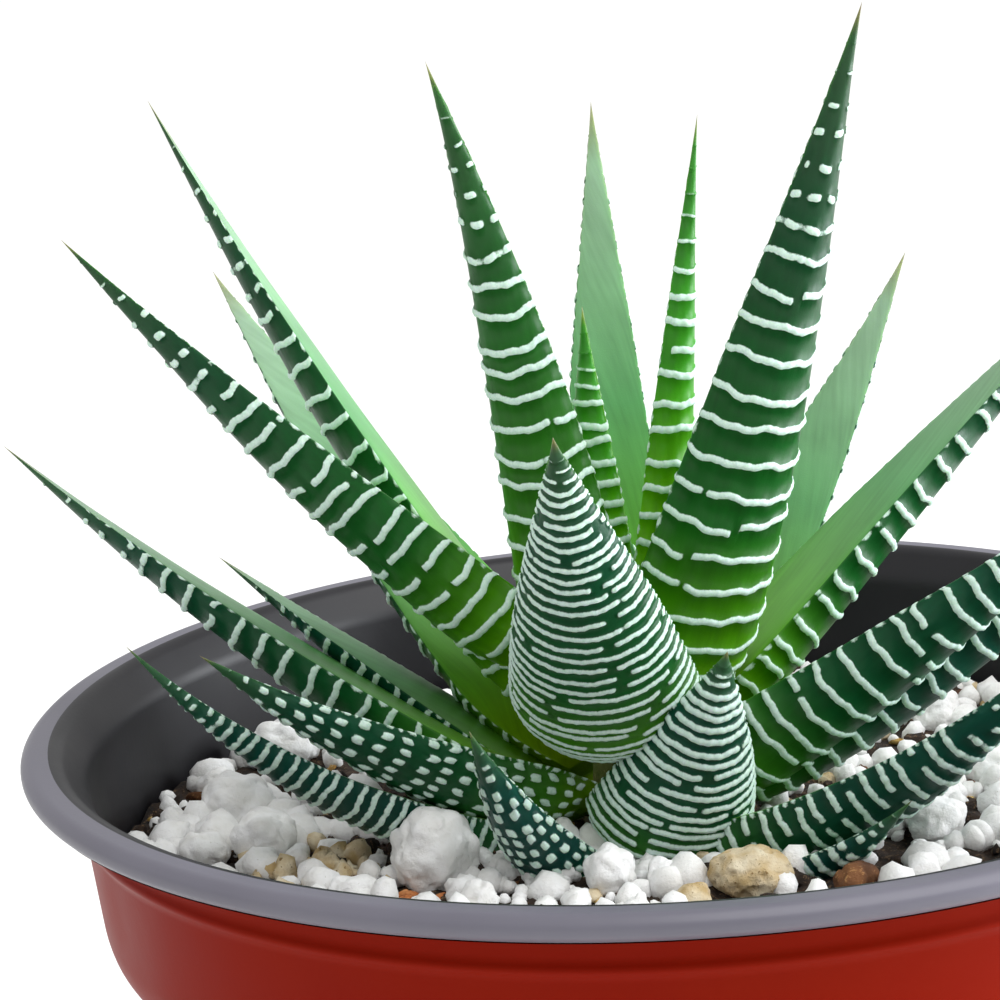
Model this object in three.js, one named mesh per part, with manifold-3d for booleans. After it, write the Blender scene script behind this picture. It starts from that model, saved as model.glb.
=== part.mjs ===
// A potted haworthia (zebra plant, Haworthiopsis attenuata) in a thin two-colour nursery pot.
// Millimetres and degrees, +Z up. The origin is the centre of the pot's foot, on the surface
// that the pot stands on. +X is the plant's right and +Y its back.

import * as THREE from 'three';
import { mergeVertices } from 'three/addons/utils/BufferGeometryUtils.js';
import Module from 'manifold-3d';

const wasm = await Module();
wasm.setup();

// ---------------------------------------------------------------- driving dimensions

// Pot
const POT_HEIGHT = 103;
const MOUTH_RADIUS = 60; // outside of the lip
const FOOT_RADIUS = 42;
const WALL = 1.2;
const FLOOR = 1.8;
const LIP_WIDTH = 3.8; // across the lip's flat top
const LIP_THICK = 2.4;
const LIP_OVERHANG = 4.8; // how far the lip stands out beyond the collar
const COLLAR_HEIGHT = 17; // from the lip's top to the shoulder
const COLLAR_TAPER = 1.5;
const SHOULDER_HEIGHT = 7;
const SHOULDER_STEP = 3.1; // how far the shoulder steps in
const BEAD_DEPTH = 5.5; // the stiffening bead, below the lip's top
const BEAD_HEIGHT = 1.6;
const BEAD_PROUD = 0.5;
const DRAIN_HOLES = 8;
const DRAIN_RADIUS = 3.5;
const DRAIN_CIRCLE = 31;
const POT_SIDES = 36;

// Soil
const SOIL_DEPTH = 13; // from the lip's top down to the soil
const SOIL_MOUND = 1.6; // how much higher the soil is round the stem
const SOIL_MOUND_REACH = 20; // how far from the stem the mound falls to a third
const SOIL_BUMP = 0.35; // height of its waves
const SOIL_RINGS = 5;

// Plant
const PLANT_X = -4; // the stem stands a little off the pot's centre
const PLANT_Y = -3;
const STEM_RADIUS = 3.2;
const STEM_ABOVE = 16; // how far the stem reaches above the soil
const STEM_BELOW = 22;
const LEAF_SIDES = 12;
const LEAF_STATIONS = 12;
const LEAF_KEEL = 0.84; // depth of the rounded underside, as a share of the half width
const LEAF_CROWN = 0.08; // rise of the nearly flat upper face, as a share of the half width
const LEAF_PEAK = 0.19; // where the leaf is widest, as a share of its length
const LEAF_BASE = 0.5; // width at the stem, as a share of the widest
const LEAF_FULLNESS = 0.45; // how far the outline swells out from a straight taper

// Every piece keeps this gap to the next one.
const GAP = 0.3;

// Each leaf, from the heart of the rosette outwards. azimuth: the way it points, from +X towards
// +Y. rise: its slope where it leaves the stem. bend: how much steeper it is at the tip. height:
// where it leaves the stem, above the soil. inset: its start, from the stem's axis. twist: how far
// it is turned about its own length.
const LEAVES = [
  { azimuth: 240, rise: 87, bend: 2, length: 36, width: 7.5, height: 15, inset: 1.5, twist: 0 },
  { azimuth: 80, rise: 84, bend: 4, length: 20, width: 6, height: 14, inset: 2.5, twist: 0 },
  { azimuth: 318, rise: 81, bend: -2, length: 56, width: 7, height: 13, inset: 3, twist: 0 },
  { azimuth: 226, rise: 83, bend: -15, length: 65, width: 10.5, height: 12, inset: 3.5, twist: 20 },
  { azimuth: 86.5, rise: 66, bend: 8, length: 59, width: 10, height: 11, inset: 4, twist: 0 },
  { azimuth: 318, rise: 66, bend: 4, length: 72, width: 13.5, height: 11, inset: 3.5, twist: -22 },
  { azimuth: 182, rise: 40, bend: 8, length: 62, width: 12.5, height: 17, inset: 3, twist: 28 },
  { azimuth: 158, rise: 53, bend: 6, length: 72, width: 11.5, height: 10.5, inset: 3.5, twist: 18 },
  { azimuth: 12, rise: 42, bend: -3, length: 64, width: 13, height: 10, inset: 3.5, twist: -3 },
  { azimuth: 46, rise: 36, bend: 14, length: 59, width: 10.5, height: 8, inset: 4, twist: 24 },
  { azimuth: 260, rise: 48, bend: 7, length: 42, width: 17, height: 12, inset: 4, twist: 0 },
  { azimuth: 132, rise: 32, bend: 14, length: 68, width: 12.5, height: 7, inset: 4, twist: -14 },
  { azimuth: 168, rise: 26.5, bend: 13, length: 64.5, width: 12, height: 3.8, inset: 4, twist: 14 },
  { azimuth: 202, rise: 19, bend: 18, length: 41, width: 12, height: 5.2, inset: 4, twist: 24 },
  { azimuth: 342, rise: 30, bend: 8, length: 56, width: 13.5, height: 6, inset: 4, twist: -28 },
  { azimuth: 106, rise: 20, bend: 10, length: 28, width: 11, height: 4, inset: 4, twist: 0 },
  { azimuth: 297, rise: 49, bend: 11, length: 25.5, width: 15.5, height: 1.5, inset: 5, twist: -20 },
  { azimuth: 156, rise: 28, bend: 4, length: 43, width: 9, height: 4, inset: 4, twist: 10 },
  { azimuth: 68, rise: 20, bend: 12, length: 38, width: 11, height: 3, inset: 4, twist: 0 },
  { azimuth: 354, rise: 19.5, bend: 24, length: 58, width: 10.5, height: 4.3, inset: 4, twist: -24 },
  { azimuth: 331, rise: 12, bend: 36, length: 50, width: 14, height: 0.4, inset: 4, twist: -16 },
  { azimuth: 118, rise: 10, bend: 14, length: 26, width: 10, height: 1, inset: 4, twist: 0 },
  { azimuth: 196, rise: 12, bend: 37, length: 48, width: 10.5, height: 1.2, inset: 5, twist: 14 },
  { azimuth: 88, rise: 8, bend: 14, length: 36, width: 10, height: 0, inset: 4, twist: 0 },
  { azimuth: 237.5, rise: 29, bend: 32, length: 28.5, width: 9, height: -2, inset: 6, twist: 8 },
  { azimuth: 318, rise: 8, bend: 34, length: 25, width: 8.5, height: -1.5, inset: 10, twist: -8 },
];

// The larger grains of the top dressing. x, y: place from the pot's axis, on soil of radius
// GRAIN_FIELD. size: width, depth and height. turn: about Z. seed: its own lumps.
const GRAIN_FIELD = 52.6;
const GRAIN_CORE = 25; // within this radius grains lie by the leaves, whatever the pot's size
const STONES = [
  { kind: 'perlite', x: -21.8, y: -14, size: [8.6, 8, 9], turn: 20, seed: 1 },
  { kind: 'perlite', x: -41.5, y: 7.5, size: [8, 8, 7], turn: 70, seed: 2 },
  { kind: 'perlite', x: -38, y: -3, size: [6.8, 6.5, 5.6], turn: 10, seed: 3 },
  { kind: 'perlite', x: -44, y: -3.6, size: [5, 5.6, 4.8], turn: 40, seed: 4 },
  { kind: 'perlite', x: -38, y: 27, size: [9, 7, 6], turn: 15, seed: 5 },
  { kind: 'perlite', x: -43.5, y: 17, size: [5, 5.4, 4.4], turn: 60, seed: 6 },
  { kind: 'perlite', x: -29.5, y: -17, size: [5.6, 4, 3.6], turn: 5, seed: 7 },
  { kind: 'perlite', x: -18, y: -22, size: [4.2, 4, 3.6], turn: 50, seed: 8 },
  { kind: 'perlite', x: -10.5, y: -11.5, size: [3.8, 3.6, 5], turn: 0, seed: 9 },
  { kind: 'perlite', x: -6.5, y: -20, size: [5.2, 5, 5.4], turn: 0, seed: 10 },
  { kind: 'perlite', x: -1.8, y: -20, size: [3.6, 3.4, 3.4], turn: 30, seed: 11 },
  { kind: 'perlite', x: -4.4, y: -26, size: [3.4, 3.2, 3], turn: 75, seed: 12 },
  { kind: 'perlite', x: 11, y: 3, size: [4, 4, 4], turn: 65, seed: 13 },
  { kind: 'perlite', x: 24, y: -9.5, size: [6.2, 6, 5.4], turn: 35, seed: 14 },
  { kind: 'perlite', x: 28.5, y: 25, size: [8, 7, 6], turn: 80, seed: 15 },
  { kind: 'perlite', x: 31, y: 5, size: [6.5, 6, 5.6], turn: 5, seed: 16 },
  { kind: 'perlite', x: 24.5, y: -19, size: [3.6, 3.4, 3], turn: 15, seed: 17 },
  { kind: 'perlite', x: 42, y: -12, size: [9, 8, 7], turn: 25, seed: 18 },
  { kind: 'perlite', x: 8, y: 40, size: [8, 7, 6], turn: 12, seed: 19 },
  { kind: 'perlite', x: -12, y: 43, size: [6.5, 6, 5.5], turn: 75, seed: 20 },
  { kind: 'perlite', x: 15, y: -41, size: [7.5, 6.5, 5.5], turn: 60, seed: 21 },
  { kind: 'perlite', x: -26, y: -37, size: [6.5, 7, 5], turn: 33, seed: 22 },
  { kind: 'pumice', x: 6, y: -21.5, size: [8, 6.6, 5.6], turn: -10, seed: 23 },
  { kind: 'pumice', x: 0.6, y: -25, size: [4, 3.6, 3], turn: 48, seed: 24 },
  { kind: 'pumice', x: 41, y: 14, size: [7, 6, 5], turn: 80, seed: 25 },
  { kind: 'bark', x: 15, y: -23, size: [5, 4, 3.6], turn: 30, seed: 26 },
  { kind: 'bark', x: -33, y: -24, size: [5, 7, 3], turn: 15, seed: 27 },
];
const STONE_SUNK = 0.2; // share of a grain's height that is pressed into the soil
const STONE_LUMP = 0.13; // how far its lumps stand out, as a share of its radius

// ---------------------------------------------------------------- derived heights and radii

const SOIL_TOP = POT_HEIGHT - SOIL_DEPTH;
const COLLAR_TOP = POT_HEIGHT - LIP_THICK;
const COLLAR_LOW = POT_HEIGHT - COLLAR_HEIGHT;
const BODY_TOP = COLLAR_LOW - SHOULDER_HEIGHT;
const COLLAR_TOP_RADIUS = MOUTH_RADIUS - LIP_OVERHANG;
const COLLAR_LOW_RADIUS = COLLAR_TOP_RADIUS - COLLAR_TAPER;
const BODY_TOP_RADIUS = COLLAR_LOW_RADIUS - SHOULDER_STEP;
const SOIL_RADIUS = wallRadius(SOIL_TOP) - WALL - GAP;

// ---------------------------------------------------------------- solids

function toSolid(geometry) {
  const bare = geometry.index ? geometry.toNonIndexed() : geometry.clone();
  bare.deleteAttribute('normal');
  bare.deleteAttribute('uv');
  const merged = mergeVertices(bare, 1e-4);
  return new wasm.Manifold(new wasm.Mesh({
    numProp: 3,
    vertProperties: merged.attributes.position.array,
    triVerts: new Uint32Array(merged.index.array),
  }));
}

function toGeometry(solid) {
  const mesh = solid.getMesh();
  const geometry = new THREE.BufferGeometry();
  geometry.setAttribute('position', new THREE.BufferAttribute(mesh.vertProperties, 3));
  geometry.setIndex(new THREE.BufferAttribute(mesh.triVerts, 1));
  geometry.computeVertexNormals();
  return geometry;
}

// The solid less every cutter. Crumbs that a cut leaves apart are dropped.
function carve(solid, cutters) {
  const cut = cutters.reduce((rest, cutter) => rest.subtract(cutter), solid);
  const bodies = cut.decompose();
  return bodies.reduce((best, body) => (body.volume() > best.volume() ? body : best));
}

function placed(geometry, matrix) {
  return toSolid(geometry.clone().applyMatrix4(matrix));
}

// Small even waves, the same on every build.
function wave(x, y, seed) {
  return 0.6 * Math.sin(0.31 * x + 1.7 * seed) * Math.cos(0.27 * y - seed) + 0.4 * Math.sin(0.63 * (x + y) + seed);
}

// ---------------------------------------------------------------- pot

// Outside radius of the wall at a height, without bead or lip.
function wallRadius(z) {
  if (z <= BODY_TOP) return THREE.MathUtils.mapLinear(z, 0, BODY_TOP, FOOT_RADIUS, BODY_TOP_RADIUS);
  if (z >= COLLAR_LOW) {
    return THREE.MathUtils.mapLinear(z, COLLAR_LOW, COLLAR_TOP, COLLAR_LOW_RADIUS, COLLAR_TOP_RADIUS);
  }
  return BODY_TOP_RADIUS + SHOULDER_STEP * THREE.MathUtils.smoothstep(z, BODY_TOP, COLLAR_LOW);
}

function shoulderHeights() {
  return [0, 0.25, 0.5, 0.75, 1].map((share) => BODY_TOP + share * SHOULDER_HEIGHT);
}

function potProfile() {
  const at = (radius, z) => new THREE.Vector2(radius, z);
  const beadTop = POT_HEIGHT - BEAD_DEPTH;
  const outside = [
    at(0, 0),
    at(wallRadius(0) - WALL, 0),
    at(wallRadius(WALL), WALL),
    ...shoulderHeights().map((z) => at(wallRadius(z), z)),
    at(wallRadius(beadTop - BEAD_HEIGHT), beadTop - BEAD_HEIGHT),
    at(wallRadius(beadTop) + BEAD_PROUD, beadTop - BEAD_HEIGHT / 2),
    at(wallRadius(beadTop), beadTop),
    at(COLLAR_TOP_RADIUS, COLLAR_TOP),
  ];
  const edge = LIP_THICK / 3;
  const lip = [
    at(MOUTH_RADIUS - edge, COLLAR_TOP),
    at(MOUTH_RADIUS, COLLAR_TOP + edge),
    at(MOUTH_RADIUS, POT_HEIGHT - edge),
    at(MOUTH_RADIUS - edge, POT_HEIGHT),
    at(MOUTH_RADIUS - LIP_WIDTH + edge, POT_HEIGHT),
    at(MOUTH_RADIUS - LIP_WIDTH, POT_HEIGHT - edge / 2),
  ];
  const inside = [
    at(COLLAR_TOP_RADIUS - WALL, COLLAR_TOP - edge),
    ...shoulderHeights().reverse().map((z) => at(wallRadius(z) - WALL, z)),
    at(wallRadius(FLOOR) - WALL, FLOOR),
    at(0, FLOOR),
  ];
  return [...outside, ...lip, ...inside];
}

function potSolid() {
  const shell = placed(new THREE.LatheGeometry(potProfile(), POT_SIDES), upright());
  const drill = new THREE.CylinderGeometry(DRAIN_RADIUS, DRAIN_RADIUS, 4 * FLOOR, 16);
  const holes = Array.from({ length: DRAIN_HOLES }, (_, i) => {
    const angle = (2 * Math.PI * (i + 0.5)) / DRAIN_HOLES;
    const place = new THREE.Matrix4().makeTranslation(
      DRAIN_CIRCLE * Math.cos(angle),
      DRAIN_CIRCLE * Math.sin(angle),
      0,
    );
    return placed(drill, place.multiply(upright()));
  });
  return carve(shell, holes);
}

// Turns a shape made about +Y to stand about +Z.
function upright() {
  return new THREE.Matrix4().makeRotationX(Math.PI / 2);
}

// ---------------------------------------------------------------- soil

// Height of the soil at a place, without its pockets.
function soilHeight(x, y) {
  const reach = Math.hypot(x - PLANT_X, y - PLANT_Y) / SOIL_MOUND_REACH;
  return SOIL_TOP + SOIL_MOUND * Math.exp(-reach * reach) + SOIL_BUMP * wave(x, y, 2);
}

function soilSolid() {
  const side = shoulderHeights().filter((z) => z < SOIL_TOP - SOIL_BUMP - GAP);
  const profile = [
    new THREE.Vector2(0, FLOOR + GAP),
    new THREE.Vector2(wallRadius(FLOOR) - WALL - GAP, FLOOR + GAP),
    ...side.map((z) => new THREE.Vector2(wallRadius(z) - WALL - GAP, z)),
  ];
  for (let ring = SOIL_RINGS; ring >= 0; ring -= 1) {
    profile.push(new THREE.Vector2((SOIL_RADIUS * ring) / SOIL_RINGS, SOIL_TOP));
  }
  const geometry = new THREE.LatheGeometry(profile, POT_SIDES).applyMatrix4(upright());
  const points = geometry.attributes.position;
  for (let i = 0; i < points.count; i += 1) {
    if (points.getZ(i) > SOIL_TOP - 1e-3) {
      points.setZ(i, soilHeight(points.getX(i), points.getY(i)));
    }
  }
  return toSolid(geometry);
}

// ---------------------------------------------------------------- leaves

// Half width of a leaf at a share of its length, as a share of its widest.
function outline(share) {
  if (share < LEAF_PEAK) {
    return LEAF_BASE + (1 - LEAF_BASE) * Math.sin((Math.PI / 2) * (share / LEAF_PEAK));
  }
  const along = (share - LEAF_PEAK) / (1 - LEAF_PEAK);
  return (1 - along) * (1 + LEAF_FULLNESS * along * (1 - along * along));
}

// A point of the leaf's spine, which is an arc in the upright plane of its azimuth.
function spine(leaf, share) {
  const rise = THREE.MathUtils.degToRad(leaf.rise);
  const bend = THREE.MathUtils.degToRad(leaf.bend);
  const radius = leaf.length / bend;
  const slope = rise + bend * share;
  return {
    out: leaf.inset + radius * (Math.sin(slope) - Math.sin(rise)),
    up: SOIL_TOP + leaf.height - radius * (Math.cos(slope) - Math.cos(rise)),
    slope,
  };
}

// A leaf, or with margin over 0 the room that it and its gap take up.
function leafSolid(leaf, margin) {
  const cone = new THREE.ConeGeometry(1, 1, LEAF_SIDES, LEAF_STATIONS);
  const points = cone.attributes.position;
  const azimuth = THREE.MathUtils.degToRad(leaf.azimuth);
  const twist = THREE.MathUtils.degToRad(leaf.twist);
  const away = new THREE.Vector3(Math.cos(azimuth), Math.sin(azimuth), 0);
  const across = new THREE.Vector3(-Math.sin(azimuth), Math.cos(azimuth), 0);
  const end = margin / leaf.length;
  for (let i = 0; i < points.count; i += 1) {
    const share = points.getY(i) + 0.5;
    const { out, up, slope } = spine(leaf, share + end * (3 * share - 1));
    const onAxis = Math.hypot(points.getX(i), points.getZ(i)) < 1e-6;
    const angle = Math.atan2(points.getX(i), points.getZ(i));
    const half = onAxis ? 0 : 0.5 * leaf.width * outline(share);
    const grown = onAxis ? 0 : margin;
    const lateral = (half + grown) * Math.cos(angle);
    const depth = Math.sin(angle) > 0 ? LEAF_CROWN : LEAF_KEEL;
    const lift = (half * depth + grown) * Math.sin(angle);
    const sideways = lateral * Math.cos(twist) - lift * Math.sin(twist);
    const normal = lateral * Math.sin(twist) + lift * Math.cos(twist);
    const point = away.clone().multiplyScalar(out - normal * Math.sin(slope));
    point.addScaledVector(across, sideways);
    points.setXYZ(i, PLANT_X + point.x, PLANT_Y + point.y, up + normal * Math.cos(slope));
  }
  return toSolid(cone);
}

// ---------------------------------------------------------------- stem and grains

// The stem, or with margin over 0 the room that it and its gap take up.
function stemSolid(margin) {
  const at = (share, z) => new THREE.Vector2(share * STEM_RADIUS + margin, SOIL_TOP + z);
  const profile = [
    new THREE.Vector2(0, SOIL_TOP - STEM_BELOW - margin),
    at(0.5, -0.94 * STEM_BELOW - margin),
    at(0.9, -0.55 * STEM_BELOW),
    at(1, 0),
    at(0.9, 0.5 * STEM_ABOVE),
    at(0.5, 0.9 * STEM_ABOVE + margin),
    new THREE.Vector2(0, SOIL_TOP + STEM_ABOVE + margin),
  ];
  const place = new THREE.Matrix4().makeTranslation(PLANT_X, PLANT_Y, 0);
  return placed(new THREE.LatheGeometry(profile, 16), place.multiply(upright()));
}

// Where a grain lies: by the leaves where it was put, and further out at its share of the way to
// the wall.
function grainPlace(stone) {
  const half = Math.max(stone.size[0], stone.size[1]) / 2;
  const reach = Math.hypot(stone.x, stone.y);
  const edge = reach + half;
  const moved = THREE.MathUtils.mapLinear(edge, GRAIN_CORE, GRAIN_FIELD, GRAIN_CORE, SOIL_RADIUS);
  const scale = edge > GRAIN_CORE ? (moved - half) / reach : 1;
  return { x: scale * stone.x, y: scale * stone.y };
}

// A lumpy grain, or with margin over 0 the room that it and its gap take up.
function stoneSolid(stone, margin) {
  const ball = new THREE.IcosahedronGeometry(1, 1);
  const points = ball.attributes.position;
  const [width, depth, height] = stone.size.map((size) => size / 2);
  const { x, y } = grainPlace(stone);
  const rest = soilHeight(x, y) + height * (1 - 2 * STONE_SUNK);
  for (let i = 0; i < points.count; i += 1) {
    const point = new THREE.Vector3().fromBufferAttribute(points, i);
    const lump = 1 + STONE_LUMP * wave(6 * point.x, 7 * point.y + 4 * point.z, stone.seed);
    const scaled = new THREE.Vector3(width, depth, height).multiply(point).multiplyScalar(lump);
    scaled.addScaledVector(point, margin);
    points.setXYZ(i, scaled.x, scaled.y, scaled.z);
  }
  const turn = new THREE.Matrix4().makeRotationZ(THREE.MathUtils.degToRad(stone.turn));
  const place = new THREE.Matrix4().makeTranslation(x, y, rest);
  return placed(ball, place.multiply(turn));
}

// ---------------------------------------------------------------- materials

const finishes = {
  pot: { color: 0xb3290f, roughness: 0.38, metalness: 0 },
  soil: { color: 0x3a2c22, roughness: 0.95, metalness: 0 },
  stem: { color: 0x6f8a45, roughness: 0.7, metalness: 0 },
  leaf: { color: 0x2f6b2c, roughness: 0.45, metalness: 0 },
  perlite: { color: 0xf1f0ea, roughness: 0.9, metalness: 0 },
  pumice: { color: 0xd9c59b, roughness: 0.9, metalness: 0 },
  bark: { color: 0x7a4e2a, roughness: 0.85, metalness: 0 },
};

// ---------------------------------------------------------------- assembly

const plant = new THREE.Group();

function add(name, finish, solid) {
  const mesh = new THREE.Mesh(toGeometry(solid), new THREE.MeshStandardMaterial(finishes[finish]));
  mesh.name = name;
  plant.add(mesh);
}

function numbered(kind, number) {
  return `${kind}_${String(number).padStart(2, '0')}`;
}

// The heart of the rosette keeps its whole shape, and each leaf further out clasps those inside it.
const taken = [];
LEAVES.forEach((leaf, index) => {
  add(numbered('leaf', index + 1), 'leaf', carve(leafSolid(leaf, 0), taken));
  taken.push(leafSolid(leaf, GAP));
});

add('stem', 'stem', carve(stemSolid(0), taken));
taken.push(stemSolid(GAP));

// Grains lie round the leaves and each other.
const counts = {};
STONES.forEach((stone) => {
  counts[stone.kind] = (counts[stone.kind] ?? 0) + 1;
  add(numbered(stone.kind, counts[stone.kind]), stone.kind, carve(stoneSolid(stone, 0), taken));
  taken.push(stoneSolid(stone, GAP));
});

add('soil', 'soil', carve(soilSolid(), taken));
add('pot', 'pot', potSolid());

export default plant;
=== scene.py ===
"""A potted haworthia: a rosette of banded succulent leaves in a thin two-colour nursery pot.

Lengths are millimetres until a piece is made, and the frame's own metres after that.
"""

import math
import random
from functools import partial
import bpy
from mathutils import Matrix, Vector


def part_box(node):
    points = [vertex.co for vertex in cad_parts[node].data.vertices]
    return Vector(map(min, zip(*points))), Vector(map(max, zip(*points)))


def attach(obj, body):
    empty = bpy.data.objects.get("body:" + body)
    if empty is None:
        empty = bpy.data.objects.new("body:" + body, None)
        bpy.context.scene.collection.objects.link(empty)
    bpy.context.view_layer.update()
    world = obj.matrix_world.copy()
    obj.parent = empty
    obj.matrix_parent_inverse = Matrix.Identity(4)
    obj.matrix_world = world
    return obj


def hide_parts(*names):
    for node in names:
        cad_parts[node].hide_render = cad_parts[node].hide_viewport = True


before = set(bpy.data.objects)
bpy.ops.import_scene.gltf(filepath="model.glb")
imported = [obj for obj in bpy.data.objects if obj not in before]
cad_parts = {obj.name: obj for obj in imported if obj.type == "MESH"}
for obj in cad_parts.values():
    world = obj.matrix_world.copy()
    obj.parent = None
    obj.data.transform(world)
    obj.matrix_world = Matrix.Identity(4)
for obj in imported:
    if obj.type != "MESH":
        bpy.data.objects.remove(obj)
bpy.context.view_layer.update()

from types import SimpleNamespace

import bmesh
import bpy
import numpy as np
from mathutils import Euler, Vector, noise

MM = 0.001

# ---------------------------------------------------------------- what the frame says


def corners_of(name):
    """Every corner of a CAD node once, in millimetres."""
    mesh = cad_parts[name].data
    found = np.zeros(len(mesh.vertices) * 3, np.float32)
    mesh.vertices.foreach_get("co", found)
    return np.unique(np.round(found.reshape(-1, 3).astype(float) / MM, 4), axis=0)


def names_like(start):
    return sorted(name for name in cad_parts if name.startswith(start))


stem_corners = corners_of("stem")
STEM_FOOT = stem_corners[stem_corners[:, 2].argmin()]
AXIS = np.array([STEM_FOOT[0], STEM_FOOT[1], 0.0])

soil_corners = corners_of("soil")
SOIL_RADIUS = soil_corners[:, 0].max()
SOIL_LOW = soil_corners[:, 2].min()
soil_edge = np.hypot(soil_corners[:, 0], soil_corners[:, 1]) > SOIL_RADIUS - 0.1
SOIL_TOP = soil_corners[soil_edge & (soil_corners[:, 2] > SOIL_LOW + 20)][:, 2].mean()

# ---------------------------------------------------------------- meshes


def make_piece(name, points, faces, materials, stands_for=(), face_material=None):
    """A smooth-shaded mesh, made in millimetres, that rides on the one body."""
    mesh = bpy.data.meshes.new(name)
    mesh.from_pydata((np.asarray(points, float) * MM).tolist(), [], faces)
    for material in materials:
        mesh.materials.append(material)
    if face_material is not None:
        mesh.polygons.foreach_set("material_index", face_material)
    mesh.shade_smooth()
    piece = bpy.data.objects.new(name, mesh)
    bpy.context.scene.collection.objects.link(piece)
    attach(piece, "root")
    if stands_for:
        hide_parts(*stands_for)
    return piece


def give_attribute(piece, name, values, kind="FLOAT"):
    made = piece.data.attributes.new(name, kind, "POINT")
    key = "vector" if kind == "FLOAT_VECTOR" else "value"
    made.data.foreach_set(key, np.asarray(values, np.float32).ravel())


def tube_faces(rows, columns):
    """Quads round a closed tube of rows, whose first and last point are its two ends' middles."""
    faces = []
    for column in range(columns):
        following = (column + 1) % columns
        faces.append((0, 1 + following, 1 + column))
        for row in range(rows - 1):
            low = 1 + row * columns
            high = low + columns
            faces.append((low + column, low + following, high + following, high + column))
        last = 1 + (rows - 1) * columns
        faces.append((last + column, last + following, 1 + rows * columns))
    return faces


def unroll(piece, rows, columns):
    """A map of a tube laid flat: columns across, rows up."""
    layer = piece.data.uv_layers.new(name="OFBake")
    spots = []
    for column in range(columns):
        left, right = column / columns, (column + 1) / columns
        edges = np.linspace(0, 1, rows + 2)
        spots += [((left + right) / 2, 0), (right, edges[1]), (left, edges[1])]
        for row in range(1, rows):
            low, high = edges[row], edges[row + 1]
            spots += [(left, low), (right, low), (right, high), (left, high)]
        spots += [(left, edges[rows]), (right, edges[rows]), ((left + right) / 2, 1)]
    layer.uv.foreach_set("vector", np.array(spots, np.float32).ravel())


def smooth_step(value, low, high):
    share = np.clip((value - low) / (high - low), 0, 1)
    return share * share * (3 - 2 * share)


def wander(values, seed):
    """A smooth random line through values, between about -1 and 1."""
    dice = random.Random(seed)
    total = 0
    for pace, height in ((1.0, 0.5), (2.3, 0.3), (4.1, 0.2)):
        total = total + height * np.sin(pace * values + dice.uniform(0, 2 * math.pi))
    return total


# ---------------------------------------------------------------- leaves

# Half width along a leaf, as a share of its widest
LEAF_PEAK = 0.19
LEAF_BASE = 0.5
LEAF_FULLNESS = 0.45
LEAF_KEEL = 0.84  # depth of the rounded underside, as a share of the half width
LEAF_CROWN = 0.05  # rise of the nearly flat upper face
LEAF_WAVER = 0.012  # how far a leaf strays from a true curve, as a share of its half width
WAVER_RUN = 9.0
KEEL_SHARPENING = 0.1
RING_STEPS = 12  # rings of corners along each CAD leaf
RING_CORNERS = 12

BACK_COLUMNS = 76  # across the banded underside
WARTY_COLUMNS = 124  # the same on a leaf of small separate warts
FACE_COLUMNS = 12  # across the smooth upper face
KEEL = 1.5 * math.pi  # where the keel lies round a leaf's section: 0 and pi are the margins

FIRST_BAND = 0.03  # where bands start and end, as shares of the leaf's length
LAST_BAND = 0.965
BAND_SPACING = 0.55  # from band to band, before the leaf's length adds to it
SPACING_GROWTH = 0.033  # how much more with each millimetre of length
END_SPACING = 0.74  # share of the spacing at the leaf's ends, and how much more halfway along
MIDDLE_SPACING = 0.34
BAND_HALF = 0.42  # half the width of a band
BAND_HEIGHT = 0.3
BAND_RISE = ((0.0, 1.0), (0.45, 0.86), (0.78, 0.46), (1.0, 0.0))  # its section, crest to foot
BAND_STRAY = 0.11  # how far a band strays up and down the leaf, as a share of the spacing
STRAY_RUN = 1.7  # the length over which it strays
BAND_RIPPLE = 0.07  # height of its fine ripples
RIPPLE_RUN = 0.45
BAND_WHOLE = 0.92  # how far a band is from breaking off: at 1 or more none would
BAND_JUMP = 0.07  # how far off its line a broken band goes on, as a share of the spacing
BREAK_RUN = 1.9  # the length over which bands break off and start again
BEAD_PITCH = 0.95  # from swelling to swelling along a band
BEAD_DEPTH = 0.26
WART_PITCH = (1.5, 2.1)
WART_CROWDING = 0.45  # how much closer together the warts of a warty leaf are
WART_WIDENING = 0.55  # how much longer than a band's width they are, as a share
WART_STRAY = 0.16
WART_RUN = 0.5
WART_EDGE = (0.14, 0.96)  # how far up its swelling a wart starts, and is full
TOOTH_HEIGHT = 0.22  # how far the pale teeth stand out along the margins
TEETH_BETWEEN = (0, 0.6, 0.9)  # how strong the one between two bands may be
MARGIN_WIDTH = 0.09  # how far round the section teeth reach
FULL_GIRTH = 1.6  # half width of the leaf below which its bands shrink with it
FADE_IN = 0.1  # share of the length by which bands have their full strength
FADE_OUT = (0.93, 0.97)  # shares between which they fade out below the tip
TIP_ROWS = (0.35, 0.7, 0.92)  # bare rows from the last band to the tip

# Leaves whose bands are broken into separate warts, and how far: 0 is whole, 1 is all warts
WARTY = {"leaf_14": 0.9, "leaf_23": 0.3, "leaf_25": 0.8, "leaf_26": 0.35, "leaf_21": 0.25}
# How readily a leaf's bands break off and start again: the rest keep theirs nearly whole
BROKEN = {"leaf_11": 0.32, "leaf_17": 0.24, "leaf_07": 0.2, "leaf_21": 0.4, "leaf_15": 0.15}
# How far up a leaf its bands give way to separate warts, as a share of its length
DOTTED_FROM = {"leaf_11": 0.93, "leaf_17": 0.8, "leaf_03": 0.8, "leaf_01": 0.8, "leaf_23": 0.7}
USUALLY_DOTTED_FROM = 0.6
DOTTED_OVER = 0.25  # the share of its length over which they do
# Leaves whose bands crowd closer than their size alone would have it
CROWDED = {"leaf_11": 0.62, "leaf_17": 0.74, "leaf_14": 1.04, "leaf_21": 0.75, "leaf_23": 0.6}


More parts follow.
